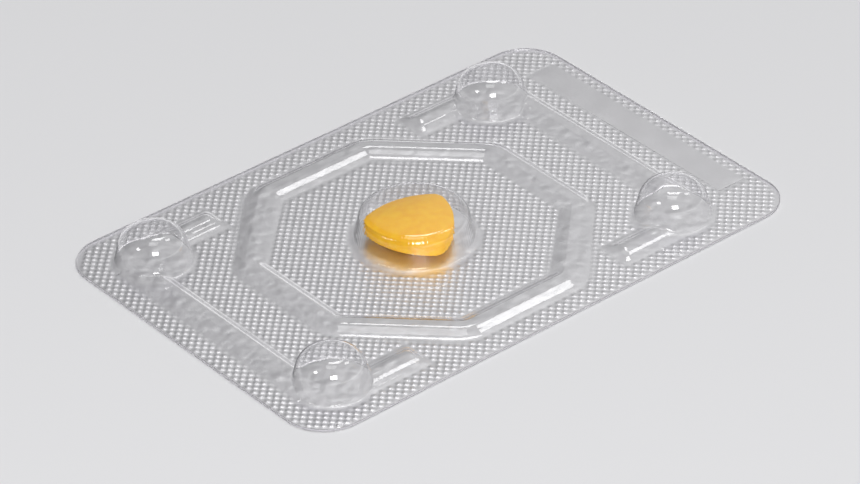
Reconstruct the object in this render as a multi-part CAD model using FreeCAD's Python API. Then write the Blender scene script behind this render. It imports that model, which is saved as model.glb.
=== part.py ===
"""Single-tablet pill blister pack, lying with its foil side down.

A clear film is formed with a round pocket, a ridge ring, corner domes and stiffening ridges.
It is sealed to a thin foil, and one tablet lies loose in the pocket.
All sizes are in millimetres. The origin is the middle of the foil's underside, +X runs along the
card towards its coding strip and +Z is up, out of the foil.
"""
import FreeCAD
import Part
import math
import os

from FreeCAD import Vector

# Card, the outline that film and foil share
CARD_LENGTH = 75.0
CARD_WIDTH = 50.0
CARD_CORNER_RADIUS = 5.5
FOIL_THICKNESS = 0.06
FILM_THICKNESS = 0.25

# Coding strip, pressed smooth along the card's +X end
STRIP_WIDTH = 4.3
STRIP_LENGTH = 35.9
STRIP_SHIFT_Y = 0.85
STRIP_EDGE_MARGIN = 1.55
STRIP_RIDGE_GAP = 2.75
STRIP_DEPTH = 0.05
STRIP_CORNER_RADIUS = 0.4

# Ridge section, the same on the ring, the end ridges and the stubs
RIDGE_FOOT_WIDTH = 3.9
RIDGE_TOP_WIDTH = 2.2
RIDGE_HEIGHT = 0.75
RIDGE_FOOT_RADIUS = 0.4
RIDGE_HOLLOW_RADIUS = 0.1

# Places of the ridges
END_MARGIN = 3.6
SIDE_MARGIN = 3.9
RING_SIDES = 8
RING_INNER_RADIUS = 0.7
STUB_LENGTH = 11.1

# Corner domes, each where an end ridge and a stub meet
DOME_FOOT_RADIUS = 4.8
DOME_DRAFT = 1.05
DOME_HEIGHT = 4.25
DOME_CROWN = 0.25
DOME_SHOULDER_RADIUS = 1.7
DOME_FOOT_FILLET = 0.4
DOME_INSET_X = 2.85
DOME_INSET_Y = 2.15

# Tablet, three-cornered with bulging sides
TABLET_REACH = 6.05
TABLET_CORNER_RADIUS = 1.6
TABLET_SIDE_RADIUS = 9.8
TABLET_BAND_HEIGHT = 1.7
TABLET_CROWN = 0.9
TABLET_FLAT_SHARE = 0.12
TABLET_CROWN_STEPS = 4
TABLET_TURN = 21.0
TABLET_SEAT_GAP = 0.03

# Pocket, made to hold the tablet with room round it and over it
POCKET_SIDE_ROOM = 0.3
POCKET_HEAD_ROOM = 0.35
POCKET_DRAFT = 0.8
POCKET_CROWN = 0.2
POCKET_SHOULDER_RADIUS = 1.0
POCKET_FOOT_FILLET = 0.4

# Each foot fillet runs on to this depth under the film's surface, so that it ends at a clean edge
FOOT_DIP = 0.03

# Points closer than this count as one
TOUCHING = 1e-6

# An edge is the one meant when its length and height agree to within this
SAME_EDGE = 1e-4

# Worked out from the sizes above
FILM_TOP = FOIL_THICKNESS + FILM_THICKNESS
RIDGE_HALF = RIDGE_FOOT_WIDTH / 2
RING_CORNER_RADIUS = RIDGE_HALF + RING_INNER_RADIUS
END_LEFT_X = -CARD_LENGTH / 2 + END_MARGIN + RIDGE_HALF
STRIP_X = CARD_LENGTH / 2 - STRIP_EDGE_MARGIN - STRIP_WIDTH / 2
END_RIGHT_X = STRIP_X - STRIP_WIDTH / 2 - STRIP_RIDGE_GAP - RIDGE_HALF
CENTRE_X = (END_LEFT_X + END_RIGHT_X) / 2
END_REACH = (END_RIGHT_X - END_LEFT_X) / 2
ROW_Y = CARD_WIDTH / 2 - SIDE_MARGIN - RIDGE_HALF
DOME_X = END_REACH - DOME_INSET_X
DOME_Y = ROW_Y - DOME_INSET_Y
TABLET_THICKNESS = TABLET_BAND_HEIGHT + 2 * TABLET_CROWN
POCKET_SHOULDER = TABLET_REACH + POCKET_SIDE_ROOM + FILM_THICKNESS
POCKET_HEIGHT = TABLET_SEAT_GAP + TABLET_THICKNESS + POCKET_HEAD_ROOM


def rounded_wire(corners, place):
    """Closed wire through (u, v, radius) corners, each rounded by a tangent arc.

    place turns a (u, v) pair into a point in space.
    """
    starts = []
    middles = []
    ends = []
    count = len(corners)
    for index, (u, v, radius) in enumerate(corners):
        corner = Vector(u, v, 0)
        before = Vector(*corners[index - 1][:2], 0) - corner
        after = Vector(*corners[(index + 1) % count][:2], 0) - corner
        before.normalize()
        after.normalize()
        half_angle = before.getAngle(after) / 2
        reach = radius / math.tan(half_angle)
        inward = before + after
        if inward.Length > 0:
            inward.normalize()
        starts.append(corner + before * reach)
        middles.append(corner + inward * (radius / math.sin(half_angle) - radius))
        ends.append(corner + after * reach)
    edges = []
    for index in range(count):
        first = starts[index]
        last = ends[index]
        if corners[index][2] > 0:
            bow = middles[index]
            arc = Part.Arc(place(first.x, first.y), place(bow.x, bow.y), place(last.x, last.y))
            edges.append(arc.toShape())
        following = starts[(index + 1) % count]
        if (following - last).Length > TOUCHING:
            side = Part.LineSegment(place(last.x, last.y), place(following.x, following.y))
            edges.append(side.toShape())
    return Part.Wire(edges)


def slab(length, width, radius, centre, thickness):
    """Flat plate with rounded corners, its underside centred on that point."""
    corners = [(sx * length / 2, sy * width / 2, radius)
               for sx, sy in ((-1, -1), (1, -1), (1, 1), (-1, 1))]
    outline = rounded_wire(corners, lambda u, v: centre + Vector(u, v, 0))
    return Part.Face(outline).extrude(Vector(0, 0, thickness))


def card_plate(bottom, thickness):
    """Flat plate with the card's outline."""
    return slab(CARD_LENGTH, CARD_WIDTH, CARD_CORNER_RADIUS, Vector(0, 0, bottom), thickness)


def ridge_corners(skin, one_sided=0.0):
    """Ridge section in (across, up). skin is how far its surface lies under the outer one.

    A one-sided section has its far flank replaced by a flat top of that length.
    """
    lean = (RIDGE_FOOT_WIDTH - RIDGE_TOP_WIDTH) / 2 / RIDGE_HEIGHT
    inset = skin * math.hypot(1, lean)
    depth = skin + FOOT_DIP
    foot = RIDGE_HALF + lean * depth - inset
    top = RIDGE_TOP_WIDTH / 2 + lean * skin - inset
    base = FILM_TOP - depth
    crest = FILM_TOP - skin + RIDGE_HEIGHT
    floor = base - FILM_THICKNESS / 2
    foot_radius = RIDGE_FOOT_RADIUS + skin
    shoulder_radius = RIDGE_HOLLOW_RADIUS + FILM_THICKNESS - skin
    brim = foot + foot_radius * math.tan(math.atan2(1, lean) / 2)
    right_side = [
        (top, crest, shoulder_radius),
        (foot, base, foot_radius),
        (brim, base, 0),
        (brim, floor, 0),
    ]
    if one_sided:
        left_side = [(-one_sided, floor, 0), (-one_sided, crest, 0)]
    else:
        left_side = [(-u, v, radius) for u, v, radius in reversed(right_side)]
    return left_side + right_side


def ridge_along_x(x_from, x_to, y, skin):
    """Straight ridge along X."""
    section = rounded_wire(ridge_corners(skin), lambda u, v: Vector(x_from, y + u, v))
    return Part.Face(section).extrude(Vector(x_to - x_from, 0, 0))


def ridge_along_y(x, y_from, y_to, skin):
    """Straight ridge along Y."""
    section = rounded_wire(ridge_corners(skin), lambda u, v: Vector(x + u, y_from, v))
    return Part.Face(section).extrude(Vector(0, y_to - y_from, 0))


def stub_ridge(side_x, side_y, skin):
    """Short ridge along X that starts inside a dome and slopes down at its free end."""
    dome_x = CENTRE_X + side_x * DOME_X
    row = side_y * ROW_Y
    tip_x = dome_x - side_x * STUB_LENGTH
    whole = ridge_along_x(dome_x, tip_x - side_x * RIDGE_FOOT_WIDTH, row, skin)
    slope_x = tip_x + side_x * RIDGE_HALF
    slope = rounded_wire(ridge_corners(skin, STUB_LENGTH),
                         lambda u, v: Vector(slope_x - side_x * u, row - RIDGE_FOOT_WIDTH, v))
    return whole.common(Part.Face(slope).extrude(Vector(0, 2 * RIDGE_FOOT_WIDTH, 0)))


def ridge_ring(skin):
    """Eight-sided ridge ring round the pocket, with its corners rounded in plan."""
    turn = 2 * math.pi / RING_SIDES
    straight = 2 * (ROW_Y * math.tan(turn / 2) - RING_CORNER_RADIUS * math.tan(turn / 2))
    hub = ROW_Y - RING_CORNER_RADIUS
    pieces = []
    for index in range(RING_SIDES):
        across = Vector(math.cos(index * turn), math.sin(index * turn), 0)
        along = Vector(-across.y, across.x, 0)
        start = Vector(CENTRE_X, 0, 0) + across * ROW_Y - along * (straight / 2)
        section = rounded_wire(ridge_corners(skin), lambda u, v: start + across * u + Vector(0, 0, v))
        pieces.append(Part.Face(section).extrude(along * straight))
        corner_centre = Vector(CENTRE_X, 0, 0) + across * hub + along * (straight / 2)
        end_section = rounded_wire(ridge_corners(skin),
                                   lambda u, v: start + along * straight + across * u + Vector(0, 0, v))
        pieces.append(Part.Face(end_section).revolve(corner_centre, Vector(0, 0, 1), math.degrees(turn)))
    return pieces


def turned_bump(centre_x, centre_y, foot, draft, height, crown, shoulder_radius, foot_radius, skin):
    """Round drafted bump with a domed top, turned about its own upright axis."""
    lean = draft / height
    inset = skin * math.hypot(1, lean)
    depth = skin + FOOT_DIP
    base = FILM_TOP - depth
    foot_r = foot + lean * depth - inset
    shoulder_r = foot + lean * skin - inset - draft
    shoulder_z = FILM_TOP - skin + height
    floor = base - FILM_THICKNESS / 2
    rise = foot_radius + skin
    brim = foot_r + rise * math.tan(math.atan2(1, lean) / 2) + FOOT_DIP

    def at(radius, z):
        return Vector(centre_x + radius, centre_y, z)

    half_angle = 2 * math.atan(crown / shoulder_r)
    crown_radius = shoulder_r / math.sin(half_angle)
    bow = Vector(centre_x + crown_radius * math.sin(half_angle / 2), centre_y,
                 shoulder_z + crown - crown_radius * (1 - math.cos(half_angle / 2)))
    edges = [
        Part.LineSegment(at(0, floor), at(brim, floor)).toShape(),
        Part.LineSegment(at(brim, floor), at(brim, base)).toShape(),
        Part.LineSegment(at(brim, base), at(foot_r, base)).toShape(),
        Part.LineSegment(at(foot_r, base), at(shoulder_r, shoulder_z)).toShape(),
        Part.Arc(at(shoulder_r, shoulder_z), bow, at(0, shoulder_z + crown)).toShape(),
        Part.LineSegment(at(0, shoulder_z + crown), at(0, floor)).toShape(),
    ]
    bump = Part.Face(Part.Wire(edges)).revolve(at(0, 0), Vector(0, 0, 1), 360)
    bump = fillet_ring(bump, shoulder_r, shoulder_z, shoulder_radius - skin)
    return fillet_ring(bump, foot_r, base, rise)


def fillet_ring(solid, ring_radius, z, radius):
    """Round the circular edge of that radius and height."""
    rings = [edge for edge in solid.Edges
             if abs(edge.Length - 2 * math.pi * ring_radius) < SAME_EDGE
             and abs(edge.CenterOfMass.z - z) < SAME_EDGE]
    return solid.makeFillet(radius, rings)


def corner_dome(x, y, skin):
    """Round dome at one corner of the forming, lower than it is wide."""
    return turned_bump(x, y, DOME_FOOT_RADIUS, DOME_DRAFT, DOME_HEIGHT, DOME_CROWN,
                       DOME_SHOULDER_RADIUS, DOME_FOOT_FILLET, skin)


def pocket(skin):
    """Round pocket over the tablet."""
    foot = POCKET_SHOULDER + POCKET_DRAFT
    return turned_bump(CENTRE_X, 0, foot, POCKET_DRAFT, POCKET_HEIGHT, POCKET_CROWN,
                       POCKET_SHOULDER_RADIUS, POCKET_FOOT_FILLET, skin)


def formed_shapes(skin):
    """Every raised shape of the film, as solids whose surface lies skin under the film's outer one."""
    shapes = ridge_ring(skin)
    for side_x, x in ((-1, END_LEFT_X), (1, END_RIGHT_X)):
        shapes.append(ridge_along_y(x, -DOME_Y, DOME_Y, skin))
        for side_y in (-1, 1):
            shapes.append(stub_ridge(side_x, side_y, skin))
            shapes.append(corner_dome(CENTRE_X + side_x * DOME_X, side_y * DOME_Y, skin))
    shapes.append(pocket(skin))
    return shapes


def blister_film():
    """Clear formed sheet: a flat card with every raised shape hollow beneath."""
    card = card_plate(FOIL_THICKNESS, FILM_THICKNESS)
    strip_centre = Vector(STRIP_X, STRIP_SHIFT_Y, FILM_TOP - STRIP_DEPTH)
    strip = slab(STRIP_WIDTH, STRIP_LENGTH, STRIP_CORNER_RADIUS, strip_centre, FILM_THICKNESS)
    outside = card.multiFuse(formed_shapes(0.0))
    hollows = formed_shapes(FILM_THICKNESS)
    return outside.cut(hollows).cut(strip).removeSplitter()


def lidding_foil():
    """Thin foil, sealed flat under the film."""
    return card_plate(0, FOIL_THICKNESS)


def tablet_outline(share, z):
    """Three-cornered outline with bulging sides, shrunk to that share of its full size."""
    corner_radius = TABLET_CORNER_RADIUS * share
    side_radius = TABLET_SIDE_RADIUS * share
    corner_reach = (TABLET_REACH - TABLET_CORNER_RADIUS) * share
    half_side = corner_reach * math.sin(math.pi / 3)
    side_centre = math.sqrt((side_radius - corner_radius) ** 2 - half_side ** 2) - corner_reach / 2
    middle = Vector(CENTRE_X, 0, z)

    def at(origin, radius, angle):
        return origin + Vector(radius * math.cos(angle), radius * math.sin(angle), 0)

    half_span = math.asin(half_side / (side_radius - corner_radius))
    edges = []
    for index in range(3):
        corner_angle = math.radians(TABLET_TURN + 120 * index)
        corner = at(middle, corner_reach, corner_angle)
        side_angle = corner_angle + math.pi / 3
        arc_centre = at(middle, side_centre, side_angle + math.pi)
        swing = math.pi / 3 - half_span
        edges.append(Part.Arc(at(corner, corner_radius, corner_angle - swing),
                              at(corner, corner_radius, corner_angle),
                              at(corner, corner_radius, corner_angle + swing)).toShape())
        edges.append(Part.Arc(at(arc_centre, side_radius, side_angle - half_span),
                              at(arc_centre, side_radius, side_angle),
                              at(arc_centre, side_radius, side_angle + half_span)).toShape())
    return Part.Wire(edges)


def tablet():
    """Tablet with an upright band and a low dome on each face."""
    bottom = FOIL_THICKNESS + TABLET_SEAT_GAP
    band_bottom = bottom + TABLET_CROWN
    band_top = band_bottom + TABLET_BAND_HEIGHT
    band = Part.Face(tablet_outline(1, band_bottom)).extrude(Vector(0, 0, TABLET_BAND_HEIGHT))
    upper = []
    lower = []
    for step in range(TABLET_CROWN_STEPS + 1):
        share = 1 - step / TABLET_CROWN_STEPS * (1 - TABLET_FLAT_SHARE)
        rise = TABLET_CROWN * (1 - share ** 2) / (1 - TABLET_FLAT_SHARE ** 2)
        upper.append(tablet_outline(share, band_top + rise))
        lower.append(tablet_outline(share, band_bottom - rise))
    return band.fuse([Part.makeLoft(upper, True), Part.makeLoft(lower, True)]).removeSplitter()


PIECES = {
    "blister_film": blister_film,
    "lidding_foil": lidding_foil,
    "tablet": tablet,
}

os.makedirs("parts", exist_ok=True)
for name, make in PIECES.items():
    shape = make()
    if len(shape.Solids) != 1 or not shape.isValid():
        raise ValueError(name + " is not one valid solid")
    print(name, round(shape.Volume, 2), "cubic mm")
    shape.Solids[0].exportStep("parts/" + name + ".step")
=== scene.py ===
import bpy
import math
import numpy as np
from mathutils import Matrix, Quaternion, Vector
from mathutils.geometry import delaunay_2d_cdt


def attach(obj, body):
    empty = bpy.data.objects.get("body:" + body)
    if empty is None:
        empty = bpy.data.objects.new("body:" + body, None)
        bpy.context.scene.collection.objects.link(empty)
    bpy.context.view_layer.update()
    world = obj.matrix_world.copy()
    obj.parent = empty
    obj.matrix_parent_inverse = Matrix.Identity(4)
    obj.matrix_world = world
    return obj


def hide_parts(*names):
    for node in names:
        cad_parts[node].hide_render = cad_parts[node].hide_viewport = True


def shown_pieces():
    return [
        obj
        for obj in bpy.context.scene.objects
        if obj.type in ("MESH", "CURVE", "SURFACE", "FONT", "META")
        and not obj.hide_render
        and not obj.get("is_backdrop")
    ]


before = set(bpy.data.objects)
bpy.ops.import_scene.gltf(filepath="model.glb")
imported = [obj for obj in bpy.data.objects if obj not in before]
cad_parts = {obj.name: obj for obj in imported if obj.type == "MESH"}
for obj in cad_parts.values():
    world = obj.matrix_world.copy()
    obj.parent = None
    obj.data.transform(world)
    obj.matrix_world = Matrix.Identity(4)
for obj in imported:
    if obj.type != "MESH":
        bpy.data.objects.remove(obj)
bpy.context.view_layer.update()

# Film. A clear plastic sheet, vacuum formed in one go with a round pocket, an eight-sided ridge
# ring, four corner domes and stiffening ridges, sealed to its foil and then cut out with it.
# Lengths here are in millimetres, in the same frame as the part, and meshes scale them to metres.
MILLIMETRE = 0.001
CARD_HALF = np.array([37.5, 25.0])
CARD_CORNER = 5.5
CENTRE_X = -2.5
FILM_TOP = 0.31
FILM_SEAT = 0.055
WALL = 0.1
FOOT_FILLET = 0.4

# Ridges: their section, then where they run
RIDGE_FOOT = 1.95
RIDGE_RISE = 0.75
RIDGE_RUN = 0.85
STUB_RUN = 1.35
CREST_BOW = 0.02
SHOULDER_START = 0.62
SHOULDER_SLOPE = 0.22
RIDGE_ROUNDING = 0.35
FACET = math.pi / 4
RING_APOTHEM = 19.15
RING_ROUNDING = 2.65
RING_HUB = RING_APOTHEM - RING_ROUNDING
RING_HALF_SIDE = RING_HUB * math.tan(FACET / 2)
END_REACH = 29.45
ROW_Y = 19.15
STUB_END = 15.5

# Domes, pocket and coding strip
DOME_X = 26.6
DOME_Y = 17.0
DOME_FOOT = 4.8
DOME_DRAFT = 1.05
DOME_HEIGHT = 4.25
DOME_CROWN = 0.25
DOME_SHOULDER = 1.7
DOME_FILLET = 0.2
POCKET_FOOT = 7.4
POCKET_DRAFT = 0.8
POCKET_HEIGHT = 3.88
POCKET_CROWN = 0.2
POCKET_SHOULDER = 1.0
STRIP_MIDDLE = (33.8, 0.85)
STRIP_HALF = (2.15, 17.95)
STRIP_CORNER = 0.4
STRIP_DEPTH = 0.05
STRIP_SLOPE = 0.16

# Mesh spacing: how far each band of vertices reaches from a form's middle, and how dense it is
BORDER_INSETS = (0.0, 0.07, 0.3)
BORDER_STEP = 1.0
CORNER_STEPS = 24
BUMP_ROWS = 34
DOME_BAND = 6.4
DOME_SPOKES = 112
DOME_CLEAR = 6.38
POCKET_BAND = 8.9
POCKET_SPOKES = 176
RIDGE_ROWS = 13
RIDGE_BAND = 2.62
FACET_STATIONS = 20
CORNER_STATIONS = 9
END_STATIONS = 45
STUB_STEP = 0.6
STRIP_STATIONS = 71
GRID_STEP = 1.15


def round_union(a, b, radius):
    """Two solids joined, with a fillet where they meet. Distances are negative inside."""
    inner = np.hypot(np.maximum(radius - a, 0), np.maximum(radius - b, 0))
    return np.maximum(radius, np.minimum(a, b)) - inner


def round_overlap(a, b, radius):
    """What two solids share, with its edge rounded."""
    outer = np.hypot(np.maximum(radius + a, 0), np.maximum(radius + b, 0))
    return np.minimum(-radius, np.maximum(a, b)) + outer


def flank(across, z, run=RIDGE_RUN):
    """Distance to a ridge's sloping side."""
    return ((across - RIDGE_FOOT) * RIDGE_RISE + z * run) / math.hypot(run, RIDGE_RISE)


def ridge(across, z):
    """Straight ridge with a nearly flat crest and soft shoulders."""
    shoulder = SHOULDER_SLOPE * np.maximum(across - SHOULDER_START, 0)
    crest = z - RIDGE_RISE + CREST_BOW * across ** 2 + shoulder
    return round_overlap(crest, flank(across, z), RIDGE_ROUNDING)


def stub_ridge(across, z):
    """Short ridge, with a narrower crest and gentler sides."""
    crest = z - RIDGE_RISE + CREST_BOW * across ** 2
    return round_overlap(crest, flank(across, z, STUB_RUN), RIDGE_ROUNDING)


def bump(r, z, foot, draft, height, crown, rounding):
    """Round drafted bump with a low domed top."""
    wall = ((r - foot) * height + z * draft) / math.hypot(height, draft)
    top = z - height - crown * (1 - (r / (foot - draft)) ** 2)
    return round_overlap(top, wall, rounding)


def dome(r, z):
    """Corner dome, at a distance r from its axis."""
    return bump(r, z, DOME_FOOT, DOME_DRAFT, DOME_HEIGHT, DOME_CROWN, DOME_SHOULDER)


def pocket(r, z):
    """The tablet's pocket, at a distance r from its axis."""
    return bump(r, z, POCKET_FOOT, POCKET_DRAFT, POCKET_HEIGHT, POCKET_CROWN, POCKET_SHOULDER)


def ring_reach(x, y):
    """How far out a point lies from the pocket's middle, on the ring's eight-sided outlines."""
    angle = np.arctan2(y, x - CENTRE_X)
    radius = np.hypot(y, x - CENTRE_X)
    turn = angle - np.round(angle / FACET) * FACET
    out = radius * np.cos(turn) - RING_HUB
    past = radius * np.abs(np.sin(turn)) - RING_HALF_SIDE
    rounded = np.where((past > 0) & (out > 0), np.hypot(past, out), out)
    return rounded + RING_HUB


def rounded_box(x, y, half, corner):
    """Distance to a rounded rectangle round the origin, negative inside."""
    dx = np.abs(x) - half[0] + corner
    dy = np.abs(y) - half[1] + corner
    beyond = np.hypot(np.maximum(dx, 0), np.maximum(dy, 0))
    return beyond + np.minimum(np.maximum(dx, dy), 0) - corner


def strip_distance(x, y):
    """Distance to the flat coding strip's outline, negative inside."""
    return rounded_box(x - STRIP_MIDDLE[0], y - STRIP_MIDDLE[1], STRIP_HALF, STRIP_CORNER)


def card_distance(x, y):
    """Distance to the card's outline, negative inside."""
    return rounded_box(x, y, CARD_HALF, CARD_CORNER)


def film_distance(x, y, z):
    """Distance over the formed film's outer surface, all shapes blended as forming leaves them."""
    ax = np.abs(x - CENTRE_X)
    ay = np.abs(y)
    total = z + STRIP_DEPTH * np.clip(0.5 - strip_distance(x, y) / STRIP_SLOPE, 0, 1)
    ring = ridge(np.abs(ring_reach(x, y) - RING_APOTHEM), z)
    total = round_union(total, ring, FOOT_FILLET)
    end = np.maximum(ridge(np.abs(ax - END_REACH), z), ay - DOME_Y)
    total = round_union(total, end, FOOT_FILLET)
    stub = stub_ridge(np.abs(ay - ROW_Y), z)
    stub = round_overlap(stub, flank(STUB_END + RIDGE_FOOT - ax, z), RIDGE_ROUNDING)
    total = round_union(total, np.maximum(stub, ax - DOME_X), FOOT_FILLET)
    total = round_union(total, dome(np.hypot(ax - DOME_X, ay - DOME_Y), z), DOME_FILLET)
    return round_union(total, pocket(np.hypot(ax, ay), z), FOOT_FILLET)


def settle(distance, lowest=-0.3, highest=5.0, halvings=34):
    """Height at which a distance function, rising with z, passes through nothing."""
    low = np.full(distance(0.0).shape, lowest)
    high = np.full(low.shape, highest)
    for _ in range(halvings):
        middle = (low + high) / 2
        inside = distance(middle) < 0
        low = np.where(inside, middle, low)
        high = np.where(inside, high, middle)
    return (low + high) / 2


def graded(shape, reach, count, samples=2400, bend_weight=1.6):
    """Places across a profile, close together where it bends and wide apart where it is flat."""
    across = np.linspace(0, reach, samples)
    z = settle(lambda h: round_union(0 * across + h, shape(across, h), FOOT_FILLET))
    run = np.hypot(np.diff(across), np.diff(z))
    lean = np.arctan2(np.diff(z), np.diff(across))
    bend = np.abs(np.diff(lean, prepend=lean[0]))
    share = np.cumsum(run / run.sum() + bend_weight * bend / bend.sum())
    share = np.concatenate([[0], share])
    return np.interp(np.linspace(0, share[-1], count), share, across)


def both_sides(shape):
    """Places across a ridge's whole width, from one foot to the other."""
    across = graded(shape, RIDGE_BAND, RIDGE_ROWS)
    return np.concatenate([-across[:0:-1], across])


def card_outline(inset):
    """Points round the card's rounded outline, moved in by inset."""
    radius = CARD_CORNER - inset
    hub = CARD_HALF - CARD_CORNER
    signs = ((1, 1), (-1, 1), (-1, -1), (1, -1))
    points = []
    for quarter in range(4):
        middle = hub * signs[quarter]
        after = hub * signs[(quarter + 1) % 4]
        for step in range(CORNER_STEPS + 1):
            angle = (quarter + step / CORNER_STEPS) * math.pi / 2
            points.append(middle + radius * np.array([math.cos(angle), math.sin(angle)]))
        sides = int(np.abs(after - middle).max() / BORDER_STEP)
        start = points[-1]
        points += [start + (after - middle) * step / sides for step in range(1, sides)]
    return np.array(points)


def circle(x, y, radius, count):
    """Points on a circle in plan, fewer on a small one."""
    full_radius = 3.5
    count = max(6, min(count, int(count * (radius + 0.3) / full_radius)))
    angle = np.arange(count) * 2 * math.pi / count
    return np.column_stack([x + radius * np.cos(angle), y + radius * np.sin(angle)])


def bump_points():
    """Circles of points on the domes and the pocket."""
    groups = []
    for middle_x in (CENTRE_X - DOME_X, CENTRE_X + DOME_X):
        for middle_y in (-DOME_Y, DOME_Y):
            for r in graded(dome, DOME_BAND, BUMP_ROWS):
                groups.append(circle(middle_x, middle_y, r, DOME_SPOKES))
    for r in graded(pocket, POCKET_BAND, BUMP_ROWS):
        groups.append(circle(CENTRE_X, 0, r, POCKET_SPOKES))
    return groups


def ring_points(across):
    """Rows of points across the ridge ring, along its sides and fanned round its corners."""
    groups = []
    middle = np.array([CENTRE_X, 0.0])
    for facet in range(8):
        turn = facet * FACET
        out = np.array([math.cos(turn), math.sin(turn)])
        along = np.array([-out[1], out[0]])
        for step in np.linspace(-RING_HALF_SIDE, RING_HALF_SIDE, FACET_STATIONS):
            groups.append(middle + out * (RING_APOTHEM + across)[:, None] + along * step)
        corner = middle + out * RING_HUB + along * RING_HALF_SIDE
        for step in range(1, CORNER_STATIONS):
            swing = turn + step / CORNER_STATIONS * FACET
            ray = np.array([math.cos(swing), math.sin(swing)])
            groups.append(corner + ray * (RING_ROUNDING + across)[:, None])
    return groups


def straight_points(across):
    """Rows of points across the end ridges and the stubs."""
    groups = []
    for x in (CENTRE_X - END_REACH, CENTRE_X + END_REACH):
        for y in np.linspace(-DOME_Y, DOME_Y, END_STATIONS):
            groups.append(np.column_stack([x + across, np.full(across.shape, y)]))
    slope = STUB_END + RIDGE_FOOT - across
    slope_end = 17.3
    stations = np.concatenate([slope[slope < slope_end], np.arange(slope_end + 0.1, 23, STUB_STEP)])
    over_stub = both_sides(stub_ridge)
    for mirror_x in (-1, 1):
        for row in (-ROW_Y, ROW_Y):
            for station in stations:
                x = np.full(over_stub.shape, CENTRE_X + mirror_x * station)
                groups.append(np.column_stack([x, row + over_stub]))
    return groups


def strip_points():
    """Points along the coding strip's low edge."""
    groups = []
    middle = np.array(STRIP_MIDDLE)
    for inset in (-0.3, -0.1, 0.0, 0.1, 0.3):
        half = np.array(STRIP_HALF) + inset
        for step in np.linspace(-1, 1, STRIP_STATIONS):
            groups.append(middle + half * [[-1, step], [1, step]])
        for step in np.linspace(-1, 1, 9)[1:-1]:
            groups.append(middle + half * [[step, -1], [step, 1]])
    return groups


def add_places(kept, taken, group, inset, apart, off_domes=True):
    """Adds a group's places that lie on the card and not too near one that is already taken."""
    x, y = group[:, 0], group[:, 1]
    keep = card_distance(x, y) < -inset
    if off_domes:
        from_dome = np.hypot(np.abs(x - CENTRE_X) - DOME_X, np.abs(y) - DOME_Y)
        keep &= from_dome >= DOME_CLEAR
    for place in group[keep]:
        cell = (int(place[0] // 1), int(place[1] // 1))
        near = [q for i in (-1, 0, 1) for j in (-1, 0, 1)
                for q in taken.get((cell[0] + i, cell[1] + j), ())]
        if near and min(abs(q[0] - place[0]) + abs(q[1] - place[1]) for q in near) < apart:
            continue
        taken.setdefault(cell, []).append(place)
        kept.append(place[None, :])


def film_plan():
    """Places in plan for the film's vertices: borders first, then bumps, ridges and flats."""
    kept = [card_outline(inset) for inset in BORDER_INSETS]
    taken = {}
    for place in np.concatenate(kept):
        taken.setdefault((int(place[0] // 1), int(place[1] // 1)), []).append(place)
    for group in bump_points():
        add_places(kept, taken, group, 0.34, 0.05, off_domes=False)
    across = both_sides(ridge)
    for group in ring_points(across) + straight_points(across) + strip_points():
        add_places(kept, taken, group, 0.34, 0.05)
    lines = np.arange(-37, 37.1, GRID_STEP), np.arange(-24, 24.1, GRID_STEP)
    add_places(kept, taken, np.stack(np.meshgrid(*lines), -1).reshape(-1, 2), 0.9, 0.55)
    return np.concatenate(kept)


def mesh_piece(name, vertices, faces):
    """New object from vertices in millimetres."""
    mesh = bpy.data.meshes.new(name)
    places = [tuple(v) for v in np.asarray(vertices) * MILLIMETRE]
    mesh.from_pydata(places, [], [tuple(f) for f in faces])
    mesh.validate()
    piece = bpy.data.objects.new(name, mesh)
    bpy.context.scene.collection.objects.link(piece)
    mesh.shade_smooth()
    return piece


def outward(x, y, z, span=0.004):
    """Unit normals of the film's outer surface."""
    slope = np.column_stack([
        film_distance(x + span, y, z) - film_distance(x - span, y, z),
        film_distance(x, y + span, z) - film_distance(x, y - span, z),
        film_distance(x, y, z + span) - film_distance(x, y, z - span),
    ])
    return slope / np.linalg.norm(slope, axis=1)[:, None]


plan = film_plan()
borders = len(card_outline(0.0))
rim = [(i, (i + 1) % borders) for i in range(borders)]
cut = delaunay_2d_cdt([Vector(p) for p in plan], rim, [], 1, 1e-6, False)
plan = np.array([tuple(p) for p in cut[0]])
triangles = np.array(cut[2])
x, y = plan[:, 0], plan[:, 1]
height = settle(lambda h: film_distance(x, y, h + 0 * x))
slope = outward(x, y, height)
outer = np.column_stack([x, y, FILM_TOP + height])
inner = outer - slope * WALL
on_rim = np.abs(card_distance(x, y)) < 1e-3
inner[on_rim, 2] = FILM_SEAT
count = len(plan)
faces = [tuple(t) for t in triangles] + [tuple(t[::-1] + count) for t in triangles]
loop = [int(i) for i in np.argsort(np.arctan2(y, x)) if on_rim[i]]
for first, second in zip(loop, loop[1:] + loop[:1]):
    faces.append((first, first + count, second + count, second))
film = mesh_piece("film", np.concatenate([outer, inner]), faces)
for face in list(film.data.polygons)[2 * len(triangles):]:
    face.use_smooth = False
normals = np.concatenate([slope, -slope])
normals[np.concatenate([on_rim, on_rim])] = 0
film.data.normals_split_custom_set_from_vertices([tuple(n) for n in normals])


def new_material(name):
    """New material, with the nodes and links of its tree."""
    material = bpy.data.materials.new(name)
    material.use_nodes = True
    return material, material.node_tree.nodes, material.node_tree.links


def math_node(nodes, operation, second=None):
    """Node for one operation on numbers, with its second number where that is fixed."""
    node = nodes.new("ShaderNodeMath")
    node.operation = operation
    if second is not None:
        node.inputs[1].default_value = second
    return node


def vector_node(nodes, operation, second=None):
    """Node for one operation on vectors, with its second vector where that is fixed."""
    node = nodes.new("ShaderNodeVectorMath")
    node.operation = operation
    if second is not None:
        node.inputs[1].default_value = second
    return node


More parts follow.
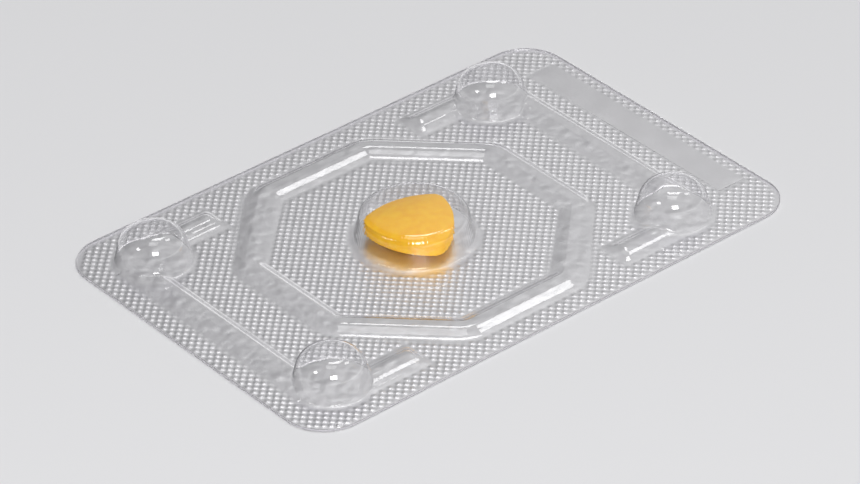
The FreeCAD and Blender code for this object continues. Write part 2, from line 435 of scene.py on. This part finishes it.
def noise_node(nodes, links, place, scale, detail):
    """Noise that is fixed to the piece, and so stays on it from every side."""
    noise = nodes.new("ShaderNodeTexNoise")
    noise.inputs["Scale"].default_value = scale
    noise.inputs["Detail"].default_value = detail
    links.new(place, noise.inputs["Vector"])
    return noise


def relief_node(nodes, links, height, strength, distance):
    """Fine relief on a surface, from a pattern of heights. The distance is in metres."""
    relief = nodes.new("ShaderNodeBump")
    relief.inputs["Strength"].default_value = strength
    relief.inputs["Distance"].default_value = distance
    links.new(height, relief.inputs["Height"])
    return relief


def range_node(nodes, links, value, low, high):
    """Node that maps a value from the range low to high onto 0 to 1."""
    mapped = nodes.new("ShaderNodeMapRange")
    mapped.inputs["From Min"].default_value = low
    mapped.inputs["From Max"].default_value = high
    links.new(value, mapped.inputs["Value"])
    return mapped


def pocket_ribs(nodes, links, place):
    """Faint upright ribs that the tool leaves round the pocket's wall."""
    rib_count = 84
    wall_start, wall_full, wall_end = 5.6 * MILLIMETRE, 6.6 * MILLIMETRE, 7.6 * MILLIMETRE
    middle = vector_node(nodes, "SUBTRACT", (CENTRE_X * MILLIMETRE, 0, 0))
    axes = nodes.new("ShaderNodeSeparateXYZ")
    angle = math_node(nodes, "ARCTAN2")
    turns = math_node(nodes, "MULTIPLY", rib_count)
    wave = math_node(nodes, "SINE")
    flat = vector_node(nodes, "MULTIPLY", (1, 1, 0))
    reach = vector_node(nodes, "LENGTH")
    inside = math_node(nodes, "LESS_THAN", wall_end)
    on_wall = math_node(nodes, "MULTIPLY")
    ribbed = math_node(nodes, "MULTIPLY")
    links.new(place, middle.inputs[0])
    links.new(middle.outputs[0], axes.inputs[0])
    links.new(axes.outputs["Y"], angle.inputs[0])
    links.new(axes.outputs["X"], angle.inputs[1])
    links.new(angle.outputs[0], turns.inputs[0])
    links.new(turns.outputs[0], wave.inputs[0])
    links.new(middle.outputs[0], flat.inputs[0])
    links.new(flat.outputs[0], reach.inputs[0])
    fade = range_node(nodes, links, reach.outputs["Value"], wall_start, wall_full)
    links.new(reach.outputs["Value"], inside.inputs[0])
    links.new(fade.outputs["Result"], on_wall.inputs[0])
    links.new(inside.outputs[0], on_wall.inputs[1])
    links.new(wave.outputs[0], ribbed.inputs[0])
    links.new(on_wall.outputs[0], ribbed.inputs[1])
    return ribbed.outputs[0]


def bends_light(nodes, links):
    """1 for what is seen through the plastic and mirrored by it, 0 for lamplight that passes."""
    path = nodes.new("ShaderNodeLightPath")
    seen = math_node(nodes, "MAXIMUM")
    within = math_node(nodes, "MODULO", 2)
    bends = math_node(nodes, "MAXIMUM")
    links.new(path.outputs["Is Camera Ray"], seen.inputs[0])
    links.new(path.outputs["Is Transmission Ray"], seen.inputs[1])
    links.new(path.outputs["Transmission Depth"], within.inputs[0])
    links.new(seen.outputs[0], bends.inputs[0])
    links.new(within.outputs[0], bends.inputs[1])
    return bends.outputs[0]


def cut_edge(nodes, links, colour):
    """The frosted look of the sheet's cut edge, and where that is: on upright faces only."""
    facing = nodes.new("ShaderNodeNewGeometry")
    upright = nodes.new("ShaderNodeSeparateXYZ")
    lean = math_node(nodes, "ABSOLUTE")
    on_edge = math_node(nodes, "LESS_THAN", 0.04)
    frost = nodes.new("ShaderNodeBsdfDiffuse")
    frost.inputs["Color"].default_value = colour
    glow = nodes.new("ShaderNodeBsdfTranslucent")
    glow.inputs["Color"].default_value = colour
    edge = nodes.new("ShaderNodeMixShader")
    links.new(facing.outputs["True Normal"], upright.inputs[0])
    links.new(upright.outputs["Z"], lean.inputs[0])
    links.new(lean.outputs[0], on_edge.inputs[0])
    links.new(frost.outputs[0], edge.inputs[1])
    links.new(glow.outputs[0], edge.inputs[2])
    return edge.outputs[0], on_edge.outputs[0]


# The sheet's clear plastic. Forming leaves it very slightly wavy, so its reflections waver, and
# the cutter leaves its edge frosted.
CLEAR = (0.972, 0.97, 0.978, 1)
FROSTED = (0.86, 0.84, 0.88, 1)
material, nodes, links = new_material("clear_film")
plastic = nodes["Principled BSDF"]
plastic.inputs["Base Color"].default_value = CLEAR
plastic.inputs["Roughness"].default_value = 0.03
plastic.inputs["IOR"].default_value = 1.5
plastic.inputs["Transmission Weight"].default_value = 1.0
place = nodes.new("ShaderNodeTexCoord").outputs["Object"]
waves = noise_node(nodes, links, place, scale=260, detail=2)
ripple = relief_node(nodes, links, waves.outputs["Fac"], strength=0.12, distance=0.0001)
ribs = relief_node(nodes, links, pocket_ribs(nodes, links, place), strength=0.25, distance=0.00002)
links.new(ripple.outputs["Normal"], ribs.inputs["Normal"])
links.new(ribs.outputs["Normal"], plastic.inputs["Normal"])
through = nodes.new("ShaderNodeBsdfTransparent")
through.inputs["Color"].default_value = CLEAR
sheet = nodes.new("ShaderNodeMixShader")
links.new(bends_light(nodes, links), sheet.inputs["Fac"])
links.new(through.outputs[0], sheet.inputs[1])
links.new(plastic.outputs[0], sheet.inputs[2])
edge_look, on_edge = cut_edge(nodes, links, FROSTED)
whole = nodes.new("ShaderNodeMixShader")
links.new(on_edge, whole.inputs["Fac"])
links.new(sheet.outputs[0], whole.inputs[1])
links.new(edge_look, whole.inputs[2])
links.new(whole.outputs[0], nodes["Material Output"].inputs["Surface"])
film.data.materials.append(material)
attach(film, "root")
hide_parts("blister_film")

# Foil. Thin aluminium, heat sealed to the film under a knurled plate, which presses a square
# lattice of small dots into it. Under the pocket, ridges, domes and coding strip it is smooth.
LATTICE = 0.868
KNURL = 0.108
FOIL_FLOOR = 0.02
FOIL_BACK = 0.03
FOIL_EDGE = 0.05
TOP_STEPS = 4
BACK_STEPS = 2

# How far from each form's middle the seal begins, and how softly it does
RING_GAP = 2.1
RING_GAP_MORE = 0.45
END_GAP = 2.25
STUB_GAP = 2.6
STUB_SEAL_END = 15.0
DOME_GAP = 5.2
POCKET_GAP = 8.0
EDGE_GAP = 0.3
PRESS_SOFTNESS = 0.3

# The loose foil: its rise, the height of its creases, and how far in from the seal it is held
LOOSE_REST = 0.022
LOOSE_RISE = 0.035
STRIP_RISE = 0.04
CREASE_RISE = 0.019
CREASE_WAVES = 11
HELD_REACH = 2.1


def sealed(x, y):
    """How far a place lies inside the knurled seal, negative where the foil is left smooth."""
    ax = np.abs(x - CENTRE_X)
    ay = np.abs(y)
    out = np.abs(np.mod(np.arctan2(ay, ax), math.pi / 2))
    half_width = RING_GAP + RING_GAP_MORE * np.sin(out) ** 2
    margin = np.abs(ring_reach(x, y) - RING_APOTHEM) - half_width
    margin = np.minimum(margin, np.maximum(np.abs(ax - END_REACH) - END_GAP, ay - DOME_Y))
    stub = np.maximum(np.abs(ay - ROW_Y) - STUB_GAP, STUB_SEAL_END - ax)
    margin = np.minimum(margin, np.maximum(stub, ax - DOME_X))
    margin = np.minimum(margin, np.hypot(ax - DOME_X, ay - DOME_Y) - DOME_GAP)
    margin = np.minimum(margin, np.hypot(ax, ay) - POCKET_GAP)
    margin = np.minimum(margin, strip_distance(x, y))
    return np.minimum(margin, -EDGE_GAP - card_distance(x, y))


def pressed(x, y):
    """How fully the knurled plate has pressed a place, from 0 to 1."""
    return np.clip(sealed(x, y) / PRESS_SOFTNESS, 0, 1)


def loose_foil(x, y):
    """Height of the foil where nothing holds it to the film: it bulges a little and is creased."""
    held = np.clip(1 + sealed(x, y) / HELD_REACH, 0, 1) ** 2
    crumple = 0
    for number in range(CREASE_WAVES):
        turn = 2.4 * number
        waves = 1.1 + 0.38 * number
        along = x * math.cos(turn) + y * math.sin(turn)
        crumple = crumple + np.sin(waves * along + 1.7 * number) / waves
    calm_edge = np.clip(-card_distance(x, y) / 1.5, 0, 1)
    loose = (LOOSE_RISE + CREASE_RISE * np.abs(crumple)) * (1 - held) * calm_edge
    on_strip = strip_distance(x, y) < 0.2
    return LOOSE_REST + np.where(on_strip, STRIP_RISE * (1 - held), loose)


def knurl_height(x, y):
    """Height of the knurl, from 0 to 1, at places in plan. Dots cut by a seal's end are weaker."""
    u = (x + y) / math.sqrt(2) / LATTICE
    v = (y - x) / math.sqrt(2) / LATTICE
    near_x = (np.round(u) - np.round(v)) * LATTICE / math.sqrt(2)
    near_y = (np.round(u) + np.round(v)) * LATTICE / math.sqrt(2)
    strength = np.clip(sealed(near_x, near_y) / 0.5 + 0.35, 0, 1) * pressed(x, y)
    wave = (0.5 + 0.5 * np.cos(2 * math.pi * u)) * (0.5 + 0.5 * np.cos(2 * math.pi * v))
    return strength * wave


def cell_corners(values):
    """The four corners of each cell of a grid."""
    return np.stack([values[:-1, :-1], values[1:, :-1], values[1:, 1:], values[:-1, 1:]], -1)


def knurled_sheet(steps, flip):
    """Sheet on the knurl's own lattice, trimmed to the card's outline."""
    reach = int(46 / LATTICE) * steps
    line = np.arange(-reach, reach + 1) * LATTICE / steps
    u, v = np.meshgrid(line, line, indexing="ij")
    x = (u - v) / math.sqrt(2)
    y = (u + v) / math.sqrt(2)
    beyond = card_distance(x, y)
    corners = cell_corners(beyond < -1e-6)
    span = 0.01
    lean_x = (card_distance(x + span, y) - card_distance(x - span, y)) / (2 * span)
    lean_y = (card_distance(x, y + span) - card_distance(x, y - span)) / (2 * span)
    move = np.where(beyond > 0, beyond, 0)
    x = x - lean_x * move
    y = y - lean_y * move
    cells = cell_corners(np.arange(x.size).reshape(x.shape))
    whole = cells[corners.sum(-1) > 1]
    tips = corners.sum(-1) == 1
    tip = np.argmax(corners[tips], -1)[:, None]
    cut = np.take_along_axis(cells[tips], (tip + np.array([0, 1, 3])) % 4, 1)
    used, numbers = np.unique(np.concatenate([whole.ravel(), cut.ravel()]), return_inverse=True)
    numbers = numbers.ravel()
    faces = list(numbers[:whole.size].reshape(-1, 4)) + list(numbers[whole.size:].reshape(-1, 3))
    if flip:
        faces = [face[::-1] for face in faces]
    return x.ravel()[used], y.ravel()[used], faces


top_x, top_y, top_faces = knurled_sheet(TOP_STEPS, False)
press = pressed(top_x, top_y)
top_z = FOIL_FLOOR * press + loose_foil(top_x, top_y) * (1 - press)
top_z += KNURL * knurl_height(top_x, top_y)
back_x, back_y, back_faces = knurled_sheet(BACK_STEPS, True)
back_z = FOIL_BACK * knurl_height(back_x, back_y)
loop = card_outline(0.0)
vertices = np.concatenate([
    np.column_stack([top_x, top_y, top_z]),
    np.column_stack([back_x, back_y, back_z]),
    np.column_stack([loop, np.full(len(loop), FOIL_EDGE)]),
    np.column_stack([loop, np.zeros(len(loop))]),
])
faces = [tuple(f) for f in top_faces] + [tuple(f + len(top_x)) for f in back_faces]
start = len(top_x) + len(back_x)
for i in range(len(loop)):
    j = (i + 1) % len(loop)
    faces.append((start + i, start + i + len(loop), start + j + len(loop), start + j))
foil = mesh_piece("foil", vertices, faces)

material, nodes, links = new_material("aluminium_foil")
metal = nodes["Principled BSDF"]
metal.inputs["Metallic"].default_value = 1.0
metal.inputs["Base Color"].default_value = (0.86, 0.86, 0.858, 1)
place = nodes.new("ShaderNodeTexCoord").outputs["Object"]
cloud = noise_node(nodes, links, place, scale=320, detail=4)
dullness = range_node(nodes, links, cloud.outputs["Fac"], 0.3, 0.7)
dullness.inputs["To Min"].default_value = 0.35
dullness.inputs["To Max"].default_value = 0.41
links.new(dullness.outputs["Result"], metal.inputs["Roughness"])
creases = noise_node(nodes, links, place, scale=420, detail=2)
creases.inputs["Roughness"].default_value = 0.6
creased = relief_node(nodes, links, creases.outputs["Fac"], strength=0.16, distance=0.00004)
links.new(creased.outputs["Normal"], metal.inputs["Normal"])
foil.data.materials.append(material)
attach(foil, "root")
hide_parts("lidding_foil")

# Tablet. Pressed from powder as a rounded three-cornered shape with low domed faces, then coated
# with a thin yellow film that softens its rims. It lies loose in the pocket.
TABLET_REACH = 6.05
TABLET_CORNER = 1.6
TABLET_SIDE = 9.8
TABLET_TURN = math.radians(21)
TABLET_BAND = 1.7
TABLET_CROWN = 0.9
TABLET_SEAT = 0.09
TABLET_SPOKES = 240
THIRD = 2 * math.pi / 3

# The faces' rows of vertices as shares of the outline, and the rim that the coat rounds off
FACE_SHARES = (0.12, 0.25, 0.4, 0.55, 0.7, 0.8, 0.88, 0.93, 0.96)
RIM_SHARE = 0.975
RIM_RISE = 0.045
RIM_DROP = 0.13
RIM_BEND = math.radians(80)
BAND_START = 0.3


def tablet_radius(angle):
    """How far the tablet's outline lies from its middle in each direction."""
    reach = TABLET_REACH - TABLET_CORNER
    half_side = reach * math.sin(THIRD / 2)
    back = math.sqrt((TABLET_SIDE - TABLET_CORNER) ** 2 - half_side ** 2) - reach / 2
    turn = np.mod(angle - TABLET_TURN, THIRD)
    along = back * np.cos(turn - THIRD / 2)
    on_side = -along + np.sqrt(along ** 2 + TABLET_SIDE ** 2 - back ** 2)
    corner = np.minimum(turn, THIRD - turn)
    toward = reach * np.cos(corner)
    on_corner = toward + np.sqrt(np.maximum(toward ** 2 + TABLET_CORNER ** 2 - reach ** 2, 0))
    limit = THIRD / 2 - math.asin(half_side / (TABLET_SIDE - TABLET_CORNER))
    swing = math.atan2(TABLET_CORNER * math.sin(limit), reach + TABLET_CORNER * math.cos(limit))
    return np.where(corner < swing, on_corner, on_side)


around = np.arange(TABLET_SPOKES) * 2 * math.pi / TABLET_SPOKES
outline = tablet_radius(around)
profile = [(share, TABLET_CROWN * (1 - share ** 2)) for share in FACE_SHARES]
for bend in np.linspace(0.15, 1.0, 6) * RIM_BEND:
    share = RIM_SHARE + (1 - RIM_SHARE) * math.sin(bend) / math.sin(RIM_BEND)
    profile.append((share, RIM_RISE - RIM_DROP * (1 - math.cos(bend))))
profile.append((1.0, -BAND_START))
profile.append((1.0, -TABLET_BAND / 2))
levels = [(share, TABLET_SEAT + TABLET_CROWN + TABLET_BAND + rise) for share, rise in profile]
levels += [(share, TABLET_SEAT + TABLET_CROWN - rise) for share, rise in reversed(profile)]
vertices = [(CENTRE_X, 0, TABLET_SEAT + 2 * TABLET_CROWN + TABLET_BAND)]
for share, z in levels:
    for angle, radius in zip(around, share * outline):
        vertices.append((CENTRE_X + radius * math.cos(angle), radius * math.sin(angle), z))
vertices.append((CENTRE_X, 0, TABLET_SEAT))
lowest = len(vertices) - 1
last_row = lowest - TABLET_SPOKES
faces = []
for i in range(TABLET_SPOKES):
    j = (i + 1) % TABLET_SPOKES
    faces.append((0, 1 + i, 1 + j))
    faces.append((last_row + i, lowest, last_row + j))
    for upper in range(1, last_row, TABLET_SPOKES):
        lower = upper + TABLET_SPOKES
        faces.append((upper + i, lower + i, lower + j, upper + j))
tablet = mesh_piece("tablet_coated", vertices, faces)


def set_stops(ramp, stops):
    """Sets a colour ramp's stops, from places and red, green and blue, in rising order."""
    elements = ramp.color_ramp.elements
    for element, (place, *colour) in zip((elements[0], elements[-1]), (stops[0], stops[-1])):
        element.position = place
        element.color = (*colour, 1)
    for place, *colour in stops[1:-1]:
        elements.new(place).color = (*colour, 1)


material, nodes, links = new_material("tablet_coat")
coat = nodes["Principled BSDF"]
coat.inputs["Roughness"].default_value = 0.48
coat.inputs["Specular IOR Level"].default_value = 0.2
place = nodes.new("ShaderNodeTexCoord").outputs["Object"]
mottle = noise_node(nodes, links, place, scale=1100, detail=5)
tone = nodes.new("ShaderNodeValToRGB")
set_stops(tone, ((0.35, 0.97, 0.48, 0.013), (0.65, 1.0, 0.565, 0.02)))
links.new(mottle.outputs["Fac"], tone.inputs["Fac"])
links.new(tone.outputs["Color"], coat.inputs["Base Color"])
grain = noise_node(nodes, links, place, scale=2600, detail=3)
grained = relief_node(nodes, links, grain.outputs["Fac"], strength=0.3, distance=0.00004)
links.new(grained.outputs["Normal"], coat.inputs["Normal"])
tablet.data.materials.append(material)
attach(tablet, "root")
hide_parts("tablet")

# Studio. A plain pale floor, soft light from all round that is dimmer on the left, five lamps
# whose reflections draw the light lines on the ridges and the glints on the domes, and the camera.
bpy.ops.mesh.primitive_plane_add(size=3, location=(0, 0, -0.00005))
floor = bpy.context.object
floor.name = "floor"
material, nodes, links = new_material("floor")
paper = nodes["Principled BSDF"]
paper.inputs["Base Color"].default_value = (0.72, 0.72, 0.73, 1)
paper.inputs["Roughness"].default_value = 0.9
paper.inputs["Specular IOR Level"].default_value = 0.1
floor.data.materials.append(material)
floor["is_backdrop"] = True

# The light from all round: how bright it is at each height, times how bright from left to right.
# Its dim middle heights keep the gaps between the foil's dots dark.
SKY = (
    (0.0, 1.5, 1.5, 1.5),
    (0.17, 0.33, 0.33, 0.335),
    (0.4, 0.34, 0.34, 0.345),
    (0.52, 0.45, 0.45, 0.455),
    (0.72, 0.52, 0.52, 0.52),
    (1.0, 0.42, 0.42, 0.42),
)
WINGS = (
    (0.0, 0.3, 0.3, 0.315),
    (0.5, 0.99, 0.99, 0.993),
    (0.7, 1.35, 1.35, 1.35),
    (1.0, 1.3, 1.3, 1.3),
)
TO_THE_RIGHT = (0.777, -0.63, 0)
world = bpy.data.worlds.new("studio")
world.use_nodes = True
nodes = world.node_tree.nodes
links = world.node_tree.links
direction = nodes.new("ShaderNodeTexCoord").outputs["Generated"]
axes = nodes.new("ShaderNodeSeparateXYZ")
links.new(direction, axes.inputs[0])
sky = nodes.new("ShaderNodeValToRGB")
set_stops(sky, SKY)
links.new(axes.outputs["Z"], sky.inputs["Fac"])
aside = vector_node(nodes, "DOT_PRODUCT", TO_THE_RIGHT)
links.new(direction, aside.inputs[0])
share = range_node(nodes, links, aside.outputs["Value"], -0.25, 0.25)
wings = nodes.new("ShaderNodeValToRGB")
set_stops(wings, WINGS)
links.new(share.outputs["Result"], wings.inputs["Fac"])
light = nodes.new("ShaderNodeMix")
light.data_type = "RGBA"
light.blend_type = "MULTIPLY"
light.inputs["Factor"].default_value = 1.0
links.new(sky.outputs["Color"], light.inputs["A"])
links.new(wings.outputs["Color"], light.inputs["B"])
links.new(light.outputs["Result"], nodes["Background"].inputs["Color"])
nodes["Background"].inputs["Strength"].default_value = 1.0
bpy.context.scene.world = world

# Lamps, each with its place, its side in metres and its watts. All of them face the card.
LAMPS = (
    ("softbox", (0.44, 0.4, 1.2), 0.36, 2.4),
    ("top_lamp", (-0.05, -0.05, 1.0), 0.35, 0.75),
    ("left_lamp", (-0.5, 0.1, 0.45), 0.12, 0.4),
    ("front_lamp", (-0.3, -0.5, 0.42), 0.24, 2.8),
    ("right_lamp", (0.52, -0.09, 0.85), 0.19, 0.55),
)
for name, spot, side, watts in LAMPS:
    lamp = bpy.data.lights.new(name, "AREA")
    lamp.size = side
    lamp.energy = watts
    holder = bpy.data.objects.new(name, lamp)
    holder.location = spot
    holder.rotation_mode = "QUATERNION"
    holder.rotation_quaternion = Vector(spot).to_track_quat("Z", "Y")
    bpy.context.scene.collection.objects.link(holder)

# Camera, at the photo's own angle
CAMERA_PLACE = (-0.312455, -0.384729, 0.331682)
CAMERA_AIM = (0.522956, 0.644206, -0.558135)
CAMERA_ROLL = math.radians(-1.4835)
camera = bpy.data.cameras.new("camera")
camera.sensor_width = 36
camera.lens = 206.44
camera.clip_start = 0.05
holder = bpy.data.objects.new("camera", camera)
holder.location = CAMERA_PLACE
holder.rotation_mode = "QUATERNION"
aim = Vector(CAMERA_AIM).to_track_quat("-Z", "Y")
holder.rotation_quaternion = aim @ Quaternion((0, 0, 1), CAMERA_ROLL)
bpy.context.scene.collection.objects.link(holder)
bpy.context.scene.camera = holder
bpy.context.scene.view_settings.view_transform = "Standard"
bpy.context.scene.cycles.transparent_max_bounces = 32
bpy.context.scene.cycles.transmission_bounces = 24
bpy.context.scene.cycles.max_bounces = 24

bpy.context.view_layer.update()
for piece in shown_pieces():
    triangle_count = sum(len(f.vertices) - 2 for f in piece.data.polygons)
    print(piece.name, len(piece.data.vertices), "vertices", triangle_count)
